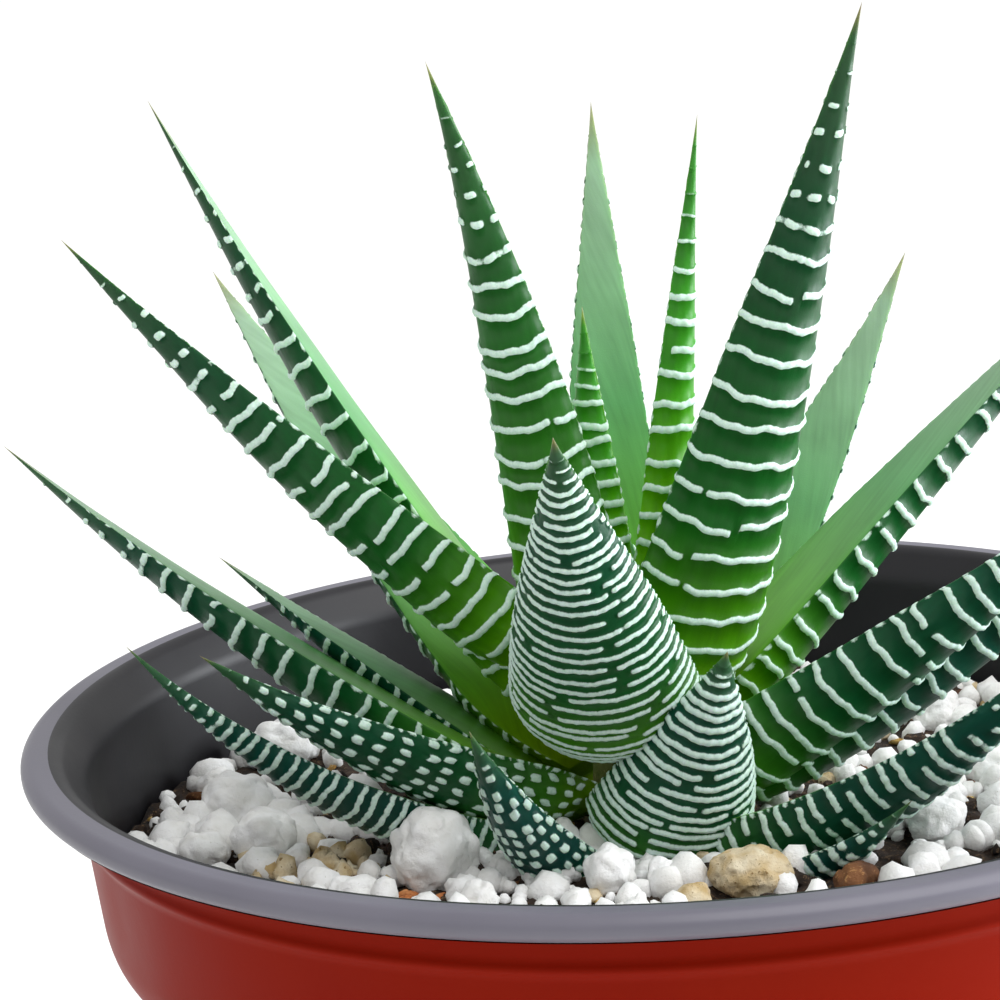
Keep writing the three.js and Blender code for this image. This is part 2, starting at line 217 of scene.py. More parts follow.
def half_width(share):
    """Half width at a share of the length, as a share of the widest."""
    base = LEAF_BASE + (1 - LEAF_BASE) * np.sin(np.pi / 2 * np.minimum(share / LEAF_PEAK, 1))
    along = np.clip((share - LEAF_PEAK) / (1 - LEAF_PEAK), 0, 1)
    taper = (1 - along) * (1 + LEAF_FULLNESS * along * (1 - along * along))
    return np.where(share < LEAF_PEAK, base, taper)


def read_ring(ring, tip):
    """Middle, half width, heading and sideways direction of one ring of a CAD leaf."""
    apart = np.linalg.norm(ring[:, None] - ring[None], axis=2)
    one, other = np.unravel_index(apart.argmax(), apart.shape)
    middle = (ring[one] + ring[other]) / 2
    margin = (ring[one] - ring[other]) / apart.max()
    keel = ring.mean(axis=0) - middle
    heading = np.cross(margin, keel)
    heading /= np.linalg.norm(heading)
    if heading @ (tip - middle) < 0:
        heading = -heading
    upper = -(keel - (keel @ margin) * margin)
    upper /= np.linalg.norm(upper)
    return SimpleNamespace(
        middle=middle, half=apart.max() / 2, heading=heading, side=np.cross(upper, heading)
    )


def read_leaf(name):
    """How a CAD leaf leaves the stem, bends and turns, from the two rings next to its tip."""
    corners = corners_of(name)
    crown = AXIS + np.array([0, 0, SOIL_TOP])
    tip = corners[np.linalg.norm(corners - crown, axis=1).argmax()]
    nearest = corners[np.linalg.norm(corners - tip, axis=1).argsort()]
    last = read_ring(nearest[1 : 1 + RING_CORNERS], tip)
    before = read_ring(nearest[1 + RING_CORNERS : 1 + 2 * RING_CORNERS], tip)

    azimuth = math.atan2(tip[1] - AXIS[1], tip[0] - AXIS[0])
    away = np.array([math.cos(azimuth), math.sin(azimuth), 0])
    across = np.array([-math.sin(azimuth), math.cos(azimuth), 0])
    slopes = [math.atan2(ring.heading[2], ring.heading @ away) for ring in (last, before)]
    step_bend = slopes[0] - slopes[1]
    chord = np.linalg.norm(last.middle - before.middle)
    radius = chord / 2 / math.sin(step_bend / 2)
    base_slope = slopes[0] - step_bend * (RING_STEPS - 1)
    upright = np.array([0, 0, math.cos(slopes[1])]) - math.sin(slopes[1]) * away
    return SimpleNamespace(
        name=name,
        age=(int(name[-2:]) - 1) / (len(LEAF_NAMES) - 1),
        away=away,
        across=across,
        base_slope=base_slope,
        bend=step_bend * RING_STEPS,
        radius=radius,
        length=radius * step_bend * RING_STEPS,
        inset=(last.middle - AXIS) @ away - radius * (math.sin(slopes[0]) - math.sin(base_slope)),
        low=last.middle[2] + radius * (math.cos(slopes[0]) - math.cos(base_slope)),
        twist=math.atan2(before.side @ upright, before.side @ across),
        half=before.half / float(half_width(1 - 2 / RING_STEPS)),
    )


def leaf_points(leaf, share, lateral, lift):
    """Places on or round a leaf: share of its length, and offsets across and above its spine."""
    slope = leaf.base_slope + leaf.bend * share
    out = leaf.inset + leaf.radius * (np.sin(slope) - math.sin(leaf.base_slope))
    up = leaf.low - leaf.radius * (np.cos(slope) - math.cos(leaf.base_slope))
    sideways = lateral * math.cos(leaf.twist) - lift * math.sin(leaf.twist)
    normal = lateral * math.sin(leaf.twist) + lift * math.cos(leaf.twist)
    out = out - normal * np.sin(slope)
    up = up + normal * np.cos(slope)
    points = AXIS + out[..., None] * leaf.away + sideways[..., None] * leaf.across
    points[..., 2] += up
    return points


def band_lines(leaf, dice):
    """How far up the leaf each band crosses the keel: closest together at its foot and tip."""
    spacing = (BAND_SPACING + SPACING_GROWTH * leaf.length) * CROWDED.get(leaf.name, 1)
    lines = []
    at = FIRST_BAND * leaf.length
    while at < LAST_BAND * leaf.length:
        lines.append(at)
        middling = math.sin(math.pi * (at / leaf.length) ** 0.8)
        at += spacing * (END_SPACING + MIDDLE_SPACING * middling) * dice.uniform(0.9, 1.1)
    return np.array(lines), spacing


def leaf_angles(columns):
    """Where the columns of a leaf's skin lie round its section.

    The upper face's are closer near the margins, and the underside's are even.
    """
    face = np.linspace(0, math.pi, FACE_COLUMNS, endpoint=False)
    face = face - 0.22 * np.sin(2 * face)
    back = np.linspace(math.pi, 2 * math.pi, columns, endpoint=False)
    return np.concatenate([face, back])


def even_swellings(along, pitch, start):
    """Swellings and hollows at an even pitch along a line, from 0 to 1."""
    return 0.5 + 0.5 * np.cos(2 * math.pi * along / pitch + start)


def shape_bands(leaf, seed, dice, angles, lines, spacing):
    """How far each band strays along the leaf, and how much of it shows, at every column.

    kept is above 0 where a band shows, and below 0 where it breaks off. Towards the tip bands
    give way to warts.
    """
    warty = WARTY.get(leaf.name, 0)
    broken = BROKEN.get(leaf.name, 0)
    dotted = DOTTED_FROM.get(leaf.name, USUALLY_DOTTED_FROM)
    girth = leaf.half * half_width(lines / leaf.length)
    stray = np.zeros((len(lines), len(angles)))
    shown = np.zeros_like(stray)
    for index, line in enumerate(lines):
        share = line / leaf.length
        across = (angles - KEEL) * girth[index]
        row_seed = seed * 1000 + index
        kept = wander(across / BREAK_RUN, row_seed + 0.25) + BAND_WHOLE - 0.7 * broken
        lengths = np.cumsum(np.diff(kept > 0, prepend=kept[0] > 0))
        jumps = np.array([dice.gauss(0, BAND_JUMP) for _ in angles])
        stray[index] = BAND_STRAY * spacing * wander(across / STRAY_RUN, row_seed)
        stray[index] += BAND_RIPPLE * wander(across / RIPPLE_RUN, row_seed + 0.5)
        stray[index] += spacing * jumps[lengths]
        stray[index] += WART_STRAY * warty * spacing * wander(across / WART_RUN, row_seed + 0.6)
        beads = even_swellings(across, BEAD_PITCH, dice.uniform(0, 6))
        whole = smooth_step(kept, 0.0, 0.16) * (1 - BEAD_DEPTH + BEAD_DEPTH * beads)
        pitch = dice.uniform(*WART_PITCH) - WART_CROWDING * warty
        warts = smooth_step(even_swellings(across, pitch, dice.uniform(0, 6)), *WART_EDGE)
        warts = warts * smooth_step(kept, -0.1, 0.2)
        wartiness = np.clip(warty + smooth_step(share, dotted, dotted + DOTTED_OVER), 0, 1)
        shown[index] = (1 - wartiness) * whole + wartiness * warts
        shown[index] *= smooth_step(share, 0.0, FADE_IN) * (1 - smooth_step(share, *FADE_OUT))
    on_back = smooth_step(-np.sin(angles), -0.02, 0.12)
    return stray * on_back, shown * on_back


def lay_rows(leaf, seed, angles):
    """The rows of a leaf's skin: their places along it, and what band and teeth they carry."""
    dice = random.Random(seed)
    lines, spacing = band_lines(leaf, dice)
    stray, shown = shape_bands(leaf, seed, dice, angles, lines, spacing)
    wide = BAND_HALF * (1 + WART_WIDENING * WARTY.get(leaf.name, 0))
    wide *= min(1, CROWDED.get(leaf.name, 1) + 0.1)
    profile = [(-offset, height) for offset, height in BAND_RISE[:0:-1]] + list(BAND_RISE)
    bare = np.zeros(len(angles))
    places, bands, teeth = [bare], [bare], [0.0]
    centres = lines[:, None] + stray
    for index, line in enumerate(lines):
        narrow = min(1, leaf.half * half_width(line / leaf.length) / FULL_GIRTH)
        for offset, height in profile:
            places.append(centres[index] + offset * wide * narrow)
            bands.append(height * shown[index] * narrow)
            teeth.append(dice.uniform(0.5, 1) * height * narrow)
        if index + 1 < len(lines):
            places.append((centres[index] + centres[index + 1]) / 2)
            bands.append(bare)
            teeth.append(dice.choice(TEETH_BETWEEN) * narrow)
    end = places[-1].mean()
    for share in TIP_ROWS:
        places.append(np.full(len(angles), end + share * (leaf.length - end)))
        bands.append(bare)
        teeth.append(0.0)
    margin = np.exp(-((np.sin(angles) / MARGIN_WIDTH) ** 2))
    return np.array(places), np.array(bands), np.array(teeth)[:, None] * margin


def leaf_skin(leaf, seed):
    """One leaf's skin, row by row: where each point lies, and what finish it has there."""
    warty = WARTY.get(leaf.name, 0)
    angles = leaf_angles(WARTY_COLUMNS if warty > 0.5 else BACK_COLUMNS)
    places, bands, teeth = lay_rows(leaf, seed, angles)
    share = np.clip(places / leaf.length, 0, 1)
    half = leaf.half * half_width(share)
    # The keel sharpens towards the tip, and teeth sink where a band meets them
    keeled = 1 + KEEL_SHARPENING * smooth_step(share, 0.3, 0.8) * np.maximum(-np.sin(angles), 0) ** 6
    depth = np.where(np.sin(angles) > 0, LEAF_CROWN, LEAF_KEEL) * keeled
    height = BAND_HEIGHT * bands + TOOTH_HEIGHT * teeth * (1 - 0.6 * bands)
    outward = np.stack(
        np.broadcast_arrays(np.maximum(depth, 0.3) * np.cos(angles), np.sin(angles)), axis=-1
    )
    outward = outward / np.linalg.norm(outward, axis=-1, keepdims=True)
    lateral = half * np.cos(angles) + height * outward[..., 0]
    lift = half * depth * np.sin(angles) + height * outward[..., 1]
    waver = LEAF_WAVER * leaf.half * wander(places / WAVER_RUN, seed + 0.7)
    points = leaf_points(leaf, share, lateral, lift + waver)
    return SimpleNamespace(
        points=points,
        band=np.maximum(bands, 0.8 * teeth),
        share=share,
        face=np.broadcast_to(smooth_step(np.sin(angles), -0.02, 0.1), share.shape),
        skin=np.stack([half * (angles - KEEL), places, np.full_like(places, seed)], -1),
    )


def make_leaf(name, material):
    leaf = read_leaf(name)
    skin = leaf_skin(leaf, int(name[-2:]))
    rows, columns = skin.share.shape
    ends = leaf_points(leaf, np.array([0.0, 1.0]), np.zeros(2), np.zeros(2))
    points = np.concatenate([ends[:1], skin.points.reshape(-1, 3), ends[1:]])
    piece = make_piece(
        name.replace("leaf", "leaf_skin"),
        points,
        tube_faces(rows, columns),
        [material],
        [name],
    )
    unroll(piece, rows, columns)

    def ended(values, first, last):
        return np.concatenate([[first], values.reshape(-1, *np.shape(first)), [last]])

    give_attribute(piece, "band", ended(skin.band, 0.0, 0.0))
    give_attribute(piece, "along", ended(skin.share, 0.0, 1.0))
    give_attribute(piece, "face", ended(skin.face, 0.5, 0.5))
    give_attribute(piece, "age", np.full(len(points), leaf.age))
    flat = ended(skin.skin, np.zeros(3), np.array([0, leaf.length, 0]))
    give_attribute(piece, "skin", flat, "FLOAT_VECTOR")
    return piece


# ---------------------------------------------------------------- pot

POT_SEGMENTS = 216
CORNER_RADIUS = 0.8
LIP_WIDTH = 3.8
LIP_REACH = LIP_WIDTH + 0.5  # corners this near to the widest radius count as the lip's
LIP_TURN = 2  # how far in from the widest radius the wall turns out into the lip
LIP_DEPTH = 1  # how far the lip's colour runs down inside
SHARP_ANGLE = 40  # degrees above which an edge of the pot isn't shaded smooth
SECTION_START = 20  # the wall's section is read from this radius outwards
FOOT_CENTRE = 8  # radius of the innermost ring of the foot
DRAIN_HOLES = 8
DRAIN_RADIUS = 3.5
DRAIN_CIRCLE = 31  # radius of the circle that the holes stand on
DRAIN_SEGMENTS = 24
DRILL_LOW = -4
DRILL_HIGH = 8


def read_pot_outline():
    """The pot's wall in section, from the foot's outer edge up, over the lip and down inside."""
    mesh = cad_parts["pot"].data
    links = {}
    for edge in mesh.edges:
        ends = [mesh.vertices[i].co / MM for i in edge.vertices]
        if all(abs(end.y) < 0.01 and end.x > SECTION_START for end in ends):
            keys = [(round(end.x, 2), round(end.z, 2)) for end in ends]
            links.setdefault(keys[0], set()).add(keys[1])
            links.setdefault(keys[1], set()).add(keys[0])
    here = min(links, key=lambda point: (point[1], point[0]))
    outline = [here]
    while True:
        onward = [point for point in links[here] if point not in outline]
        if not onward:
            return outline
        here = onward[0]
        outline.append(here)


def round_corners(outline, radius):
    """The outline with each corner turned into a short curve."""
    smoothed = [outline[0]]
    for before, corner, after in zip(outline, outline[1:], outline[2:]):
        before, corner, after = (np.array(point) for point in (before, corner, after))
        reach = min(
            radius, 0.45 * np.linalg.norm(corner - before), 0.45 * np.linalg.norm(after - corner)
        )
        start = corner + reach * (before - corner) / np.linalg.norm(before - corner)
        end = corner + reach * (after - corner) / np.linalg.norm(after - corner)
        for share in (0, 0.25, 0.5, 0.75, 1):
            bent = (1 - share) ** 2 * start + 2 * share * (1 - share) * corner + share**2 * end
            smoothed.append(tuple(bent))
    smoothed.append(outline[-1])
    return smoothed


def loose_object(name, points, faces):
    """A working object in millimetres, which is removed again."""
    mesh = bpy.data.meshes.new(name)
    mesh.from_pydata(np.asarray(points).tolist(), [], faces)
    made = bpy.data.objects.new(name, mesh)
    bpy.context.scene.collection.objects.link(made)
    return made


def drain_drills():
    """The rods that the drain holes are cut with, as one object."""
    turns = np.linspace(0, 2 * math.pi, DRAIN_SEGMENTS, endpoint=False)
    circle = DRAIN_RADIUS * np.stack([np.cos(turns), np.sin(turns), np.zeros(DRAIN_SEGMENTS)], -1)
    points, faces = [], []
    for hole in range(DRAIN_HOLES):
        turn = 2 * math.pi * (hole + 0.5) / DRAIN_HOLES
        centre = DRAIN_CIRCLE * np.array([math.cos(turn), math.sin(turn), 0])
        ends = [centre + (0, 0, height) for height in (DRILL_LOW, DRILL_HIGH)]
        rod = np.concatenate([ends[:1], circle + ends[0], circle + ends[1], ends[1:]])
        start = len(rod) * hole
        faces += [tuple(start + i for i in face) for face in tube_faces(2, DRAIN_SEGMENTS)]
        points.append(rod)
    return loose_object("drills", np.concatenate(points), faces)


def drill_pot(points, faces, plastics, face_plastic):
    """The pot's points, faces and their plastics with the drain holes cut through its foot."""
    shell = loose_object("shell", points, faces)
    for plastic in plastics:
        shell.data.materials.append(plastic)
    shell.data.polygons.foreach_set("material_index", face_plastic)
    drills = drain_drills()
    cut = shell.modifiers.new("holes", "BOOLEAN")
    cut.object = drills
    cut.solver = "EXACT"
    ready = shell.evaluated_get(bpy.context.evaluated_depsgraph_get()).to_mesh()
    new_points = [tuple(vertex.co) for vertex in ready.vertices]
    new_faces = [tuple(polygon.vertices) for polygon in ready.polygons]
    last = len(plastics) - 1
    new_plastic = [min(polygon.material_index, last) for polygon in ready.polygons]
    for spare in (shell, drills):
        bpy.data.objects.remove(spare)
    return new_points, new_faces, new_plastic


def make_pot(body, lip, inside):
    outline = read_pot_outline()
    widest = max(point[0] for point in outline)
    turned = next(i for i, point in enumerate(outline) if point[0] > widest - LIP_TURN)
    turned_in = max(i for i, point in enumerate(outline) if point[0] > widest - LIP_REACH)
    floor = outline[-1][1]
    lower = round_corners([(FOOT_CENTRE, 0)] + outline[: turned + 1], CORNER_RADIUS)
    upper = round_corners(outline[turned - 1 :] + [(FOOT_CENTRE, floor)], CORNER_RADIUS)[1:]
    section = lower + upper
    bodies = len(lower)
    lips = sum(1 for radius, height in upper if height > outline[turned_in][1] - LIP_DEPTH)

    angles = np.linspace(0, 2 * math.pi, POT_SEGMENTS, endpoint=False)
    points = [np.array([[0, 0, 0]])]
    for radius, height in section:
        ring = [radius * np.cos(angles), radius * np.sin(angles), np.full(POT_SEGMENTS, height)]
        points.append(np.stack(ring, axis=-1))
    points.append(np.array([[0, 0, floor]]))
    faces = tube_faces(len(section), POT_SEGMENTS)
    rows = [0] * bodies + [1] * lips + [2] * (len(section) + 1 - bodies - lips)
    plastics = [body, lip, inside]
    points, faces, face_plastic = drill_pot(
        np.concatenate(points), faces, plastics, np.array(rows * POT_SEGMENTS, np.int32)
    )
    pot = make_piece("pot_shell", points, faces, plastics, ["pot"], face_plastic)
    pot.data.set_sharp_from_angle(angle=math.radians(SHARP_ANGLE))
    return pot


# ---------------------------------------------------------------- soil and grains

MOUND = 1.6  # how far the soil rises round the stem
MOUND_REACH = 20
CLOD_SIZE = 3.2
CLOD_HEIGHT = 0.9
SOIL_SHOULDER = 3  # how far below its top the soil's wall ends
WALL_GAP = 0.4  # the soil's clearance from the pot's wall
EDGE_GAP = 0.2  # the same at its top edge
SOIL_RINGS = 84
SOIL_SEGMENTS = 240


def soil_height(x, y):
    reach = math.hypot(x - AXIS[0], y - AXIS[1]) / MOUND_REACH
    return SOIL_TOP + MOUND * math.exp(-reach * reach)


def make_soil(material):
    """The soil as one closed body with a crumbly top."""
    shoulder = SOIL_TOP - SOIL_SHOULDER
    wall = [point for point in read_pot_outline() if point[0] < SOIL_RADIUS + 3]
    inner = [point for point in wall[::-1] if point[1] < shoulder]
    inner = inner[: len(inner) // 2]
    points = [(0, 0, SOIL_LOW)]
    rings = [(inner[0][0] - WALL_GAP, SOIL_LOW)]
    rings += [(radius - WALL_GAP, height) for radius, height in inner if height > SOIL_LOW + 1]
    rings.append((SOIL_RADIUS - EDGE_GAP, shoulder))
    rings += [(SOIL_RADIUS * ring / SOIL_RINGS, None) for ring in range(SOIL_RINGS, 0, -1)]
    for radius, height in rings:
        for segment in range(SOIL_SEGMENTS):
            angle = 2 * math.pi * segment / SOIL_SEGMENTS
            x, y = radius * math.cos(angle), radius * math.sin(angle)
            top = height
            if height is None:
                clods = noise.fractal(Vector((x, y, 0)) / CLOD_SIZE, 1.0, 2.1, 4)
                top = soil_height(x, y) + CLOD_HEIGHT * clods
            points.append((x, y, top))
    points.append((0, 0, soil_height(0, 0)))
    faces = tube_faces(len(rings), SOIL_SEGMENTS)
    return make_piece("soil_body", points, faces, [material], ["soil"])


GRAIN_FACE = 0.3  # size of the small faces that a grain is remade from
LOBE_LEVEL = 0.35  # what part of a lobe stands out of the grain
PIT_LEVEL = 0.1  # how much of the grain is left between pits


def grain_shape(name):
    """A CAD grain remade from even small faces: its points, their normals and its faces."""
    source = bpy.data.objects.new("rough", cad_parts[name].data.copy())
    bpy.context.scene.collection.objects.link(source)
    remesh = source.modifiers.new("even", "REMESH")
    remesh.mode = "VOXEL"
    remesh.voxel_size = GRAIN_FACE * MM
    relax = source.modifiers.new("relax", "SMOOTH")
    relax.iterations = 3
    ready = source.evaluated_get(bpy.context.evaluated_depsgraph_get()).to_mesh()
    points = np.array([vertex.co for vertex in ready.vertices]) / MM
    normals = np.array([vertex.normal for vertex in ready.vertices])
    faces = [tuple(polygon.vertices) for polygon in ready.polygons]
    bpy.data.objects.remove(source)
    return points, normals, faces


def make_grain(name, new_name, material, lobes, pits):
    """A grain with lobes and pits: each is a size and a depth."""
    points, normals, faces = grain_shape(name)
    seed = Vector((7.3, 2.1, 5.7)) * int(name[-2:])
    raised = []
    for point, normal in zip(points, normals):
        place = Vector(point)
        near = noise.voronoi(place / lobes[0] + seed)[0]
        swell = lobes[1] * (LOBE_LEVEL - near[0])
        hollow = pits[1] * min(0, noise.noise(place / pits[0] + seed) + PIT_LEVEL)
        raised.append(point + normal * (swell + hollow))
    return make_piece(new_name, raised, faces, [material], [name])


def crumb_template():
    """The even ball that every crumb is made from."""
    ball = bmesh.new()
    bmesh.ops.create_icosphere(ball, subdivisions=2, radius=1)
    points = np.array([vertex.co for vertex in ball.verts])
    faces = np.array([[vertex.index for vertex in face.verts] for face in ball.faces])
    ball.free()
    return points, faces


def grain_footprints():
    """Where the CAD grains lie: middle and half width of each."""
    found = []
    for name in names_like("perlite") + names_like("pumice") + names_like("bark"):
        low, high = (np.array(corner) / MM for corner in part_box(name))
        found.append(((low + high) / 2, (high - low)[:2].max() / 2))
    return found


CRUMB_GAP = 0.3  # clearance from the pot's wall
CRUMB_REACH = 1.2  # how near the wall a crumb's middle may lie
CRUMB_NARROWING = (0.65, 0.95)  # the limits of its width, as shares of its length
CRUMB_TILT = 0.35  # about how many radians a flat crumb is tilted by
LUMPS = 1.7  # about how many lumps it has across half its size
GRAIN_COVER = 0.8  # how much of a CAD grain's half width keeps crumbs away
FULL_TURN = 6.28
SIZE_SKEW = 1.8  # above 1 makes more of the crumbs small
CRUMB_LIFT = 0.48  # how far a crumb's middle lies above the soil, as a share of its half height
FLAT = 0.6  # a crumb flatter than this lies down


def scatter_crumbs(name, material, seed, count, sizes, flatness, rough, heap=None):
    """Loose crumbs on the soil, joined as one piece. sizes are the smallest and largest across.

    They lie anywhere, or in a heap: the x and y of its middle, and how far it spreads.
    """
    dice = random.Random(seed)
    shape, faces = crumb_template()
    footprints = grain_footprints()
    all_points, all_faces = [], []
    while len(all_points) < count:
        reach = math.sqrt(dice.random()) * (SOIL_RADIUS - CRUMB_REACH)
        angle = dice.uniform(0, 2 * math.pi)
        x, y = reach * math.cos(angle), reach * math.sin(angle)
        if heap:
            x, y = dice.gauss(heap[0], heap[2]), dice.gauss(heap[1], heap[2])
        size = sizes[0] + (sizes[1] - sizes[0]) * dice.random() ** SIZE_SKEW
        if any(math.hypot(x - m[0], y - m[1]) < GRAIN_COVER * half for m, half in footprints):
            continue
        if math.hypot(x, y) + size / 2 > SOIL_RADIUS - CRUMB_GAP:
            continue
        turn = Euler([dice.uniform(0, FULL_TURN) for _ in range(3)])
        narrow = dice.uniform(*CRUMB_NARROWING)
        stretch = np.array([1, narrow, flatness * dice.uniform(0.7, 1)])
        offset = Vector([dice.uniform(-50, 50) for _ in range(3)])
        lumps = [1 + rough * noise.noise(LUMPS * Vector(point) + offset) for point in shape]
        points = shape * np.array(lumps)[:, None] * stretch * size / 2
        if flatness < FLAT:
            turn = Euler((dice.gauss(0, CRUMB_TILT), dice.gauss(0, CRUMB_TILT), 0))
        points = points @ np.array(turn.to_matrix()).T
        middle = np.array([x, y, soil_height(x, y) + CRUMB_LIFT * points[:, 2].max()])
        all_faces.append(faces + len(shape) * len(all_points))
        all_points.append(points + middle)
    joined = [tuple(face) for face in np.concatenate(all_faces).tolist()]
    return make_piece(name, np.concatenate(all_points), joined, [material])


# ---------------------------------------------------------------- finishes


def linear(colour):
    """An sRGB hex value as the linear colour that the shader takes."""
    parts = [int(colour[i : i + 2], 16) / 255 for i in (1, 3, 5)]
    lit = [part / 12.92 if part <= 0.04045 else ((part + 0.055) / 1.055) ** 2.4 for part in parts]
    return (*lit, 1)


def add_node(tree, kind, values=None, out=None, stops=(), **settings):
    """Adds a node: settings are its own options, stops a ramp's, and values go to its inputs.

    A value is a number, a hex colour or another node's socket. Its input is named or numbered.
    Gives back the node's output socket called out, or its first.
    """
    node = tree.nodes.new("ShaderNode" + kind)
    for name, value in settings.items():
        setattr(node, name, value)
    for index, (place, colour) in enumerate(stops):
        ramp = node.color_ramp.elements
        if index > 1:
            ramp.new(1)
        ramp[index].position = place
        ramp[index].color = linear(colour)
    for name, value in (values or {}).items():
        sockets = [s for s in node.inputs if s.enabled]
        named = [s for s in sockets if s.name == name]
        socket = sockets[name] if isinstance(name, int) else named[0]
        if isinstance(value, bpy.types.NodeSocket):
            tree.links.new(value, socket)
        else:
            socket.default_value = linear(value) if isinstance(value, str) else value
    return next((s for s in node.outputs if s.enabled and out in (None, s.name)), None)


def new_material(name):
    """An empty material, and add_node for its own tree."""
    material = bpy.data.materials.new(name)
    material.use_nodes = True
    material.node_tree.nodes.clear()
    return material, partial(add_node, material.node_tree)


def per_metre(size):
    """Noise scale that makes its features about this many millimetres across."""
    return 1 / (size * MM)


def leaf_skin_material():
    """Waxy skin of a succulent leaf, as it grew, with corky bands that dried on it.

    The wax gives deep green a soft shine, and the bands are dull, white and rough. Light passes
    a little way into the flesh. The upper face is paler and milkier, partly its own colour and partly
    a painted glow of light through the flesh.
    """
    material, node = new_material("waxy succulent leaf with corky white bands")
    band = node("Attribute", out="Fac", attribute_name="band")
    along = node("Attribute", out="Fac", attribute_name="along")
    face = node("Attribute", out="Fac", attribute_name="face")
    age = node("Attribute", out="Fac", attribute_name="age")
    skin = node("Attribute", out="Vector", attribute_name="skin")

    # Young leaves start yellow-green, old ones are blue-green, and every tip dries to brown
    sprout = [(0, "#a3c22c"), (0.25, "#6fae2a"), (0.6, "#438f2c"), (0.95, "#3c7a34")]
    sprout += [(1, "#7d7a4c")]
    young = [(0, "#86a81c"), (0.16, "#55921a"), (0.34, "#1f5f18"), (0.7, "#123f18")]
    young += [(0.96, "#26452a"), (1, "#75604c")]
    old = [(0, "#3f6f22"), (0.14, "#1a4f2c"), (0.4, "#0d3834"), (0.75, "#184c40")]
    old += [(0.97, "#416446"), (1, "#7d6a54")]
    # The upper face's pale ramp is partly painted glow: light shining through the flesh, brightened
    # into its colour
    inside = [(0, "#86aa22"), (0.2, "#6aa83a"), (0.5, "#69a36c"), (0.9, "#98b69a"), (1, "#8a8468")]
    sprout, young, old, inside = (
        node("ValToRGB", {"Fac": along}, stops=stops) for stops in (sprout, young, old, inside)
    )
    heart = node(
        "MapRange", {"Value": age, "From Min": 0.08, "From Max": 0.13, "To Min": 1.0, "To Max": 0.0}
    )
    young = node("Mix", {"Factor": heart, "A": young, "B": sprout}, data_type="RGBA")
    green = node("Mix", {"Factor": age, "A": young, "B": old}, data_type="RGBA")
    aged = node(
        "MapRange", {"Value": age, "From Min": 0.2, "From Max": 0.6, "To Min": 1.0, "To Max": 0.72}
    )
    inside = node("HueSaturation", {"Color": inside, "Value": aged})
    green = node("Mix", {"Factor": face, "A": green, "B": inside}, data_type="RGBA")

    # The skin attribute is in millimetres, so a noise scale is how many features lie in one of
    # them. Streaks run up the leaf, 0.7 mm across and 8 mm long, and patches are 6 mm across.
    stretched = node("VectorMath", {0: skin, 1: (1.4, 0.13, 1)}, operation="MULTIPLY")
    streaks = node("TexNoise", {"Vector": stretched, "Scale": 1.0, "Detail": 3.0}, "Fac")
    patches = node("TexNoise", {"Vector": skin, "Scale": 0.16, "Detail": 3.0}, "Fac")
    mottle = node("Math", {0: streaks, 1: patches}, operation="ADD")
    shade = node(
        "MapRange", {"Value": mottle, "From Min": 0.7, "From Max": 1.3, "To Min": 0.84, "To Max": 1.16}
    )
    green = node("HueSaturation", {"Color": green, "Value": shade, "Saturation": 1.08})

    # The bands' edges are softened by grain about 0.2 mm across
    grain = node("TexNoise", {"Vector": skin, "Scale": 4.5, "Detail": 2.0}, "Fac")
    edge = node("Math", {0: grain, 1: 0.3, 2: band}, operation="MULTIPLY_ADD")
    cork = node("MapRange", {"Value": edge, "From Min": 0.4, "From Max": 0.62})
    white = node("Mix", {"Factor": grain, "A": "#b0d8c4", "B": "#e8f7ef"}, data_type="RGBA")
    colour = node("Mix", {"Factor": cork, "A": green, "B": white}, data_type="RGBA")
    rough = node("MapRange", {"Value": cork, "To Min": 0.38, "To Max": 0.62})
    cells = node("TexNoise", {"Vector": skin, "Scale": 6.0, "Detail": 3.0}, "Fac")
    relief = node("Bump", {"Height": cells, "Strength": 0.25, "Distance": 0.05 * MM})
    values = {
        "Base Color": colour,
        "Roughness": rough,
        "IOR": 1.4,
        "Specular IOR Level": 0.3,
        "Normal": relief,
        "Subsurface Weight": 0.22,
        "Subsurface Radius": (0.7, 1.0, 0.35),
        "Subsurface Scale": 1.5 * MM,
    }
    node("OutputMaterial", {"Surface": node("BsdfPrincipled", values)})
    return material


def plastic_material(name, colour, worn, roughness, shine):
    """Polypropylene sheet, thermoformed over a smooth tool.

    It has an even colour, a broad soft shine, faint specks and a little dust.
    """
    material, node = new_material(name)
    place = node("TexCoord", out="Object")
    dust = node("TexNoise", {"Vector": place, "Scale": per_metre(14), "Detail": 5.0}, "Fac")
    speck = node("TexNoise", {"Vector": place, "Scale": per_metre(0.5), "Detail": 2.0}, "Fac")
    dusty = node("MapRange", {"Value": dust, "From Min": 0.4, "From Max": 0.75, "To Max": 0.3})
    base = node("Mix", {"Factor": dusty, "A": colour, "B": worn}, data_type="RGBA")
    duller = {"From Min": 0.3, "From Max": 0.7, "To Min": roughness, "To Max": roughness + 0.14}
    rough = node("MapRange", {"Value": dust, **duller})
    relief = node("Bump", {"Height": speck, "Strength": 0.2, "Distance": 0.04 * MM})
    values = {
        "Base Color": base,
        "Roughness": rough,
        "IOR": 1.49,
        "Specular IOR Level": shine,
        "Normal": relief,
    }
    node("OutputMaterial", {"Surface": node("BsdfPrincipled", values)})
    return material


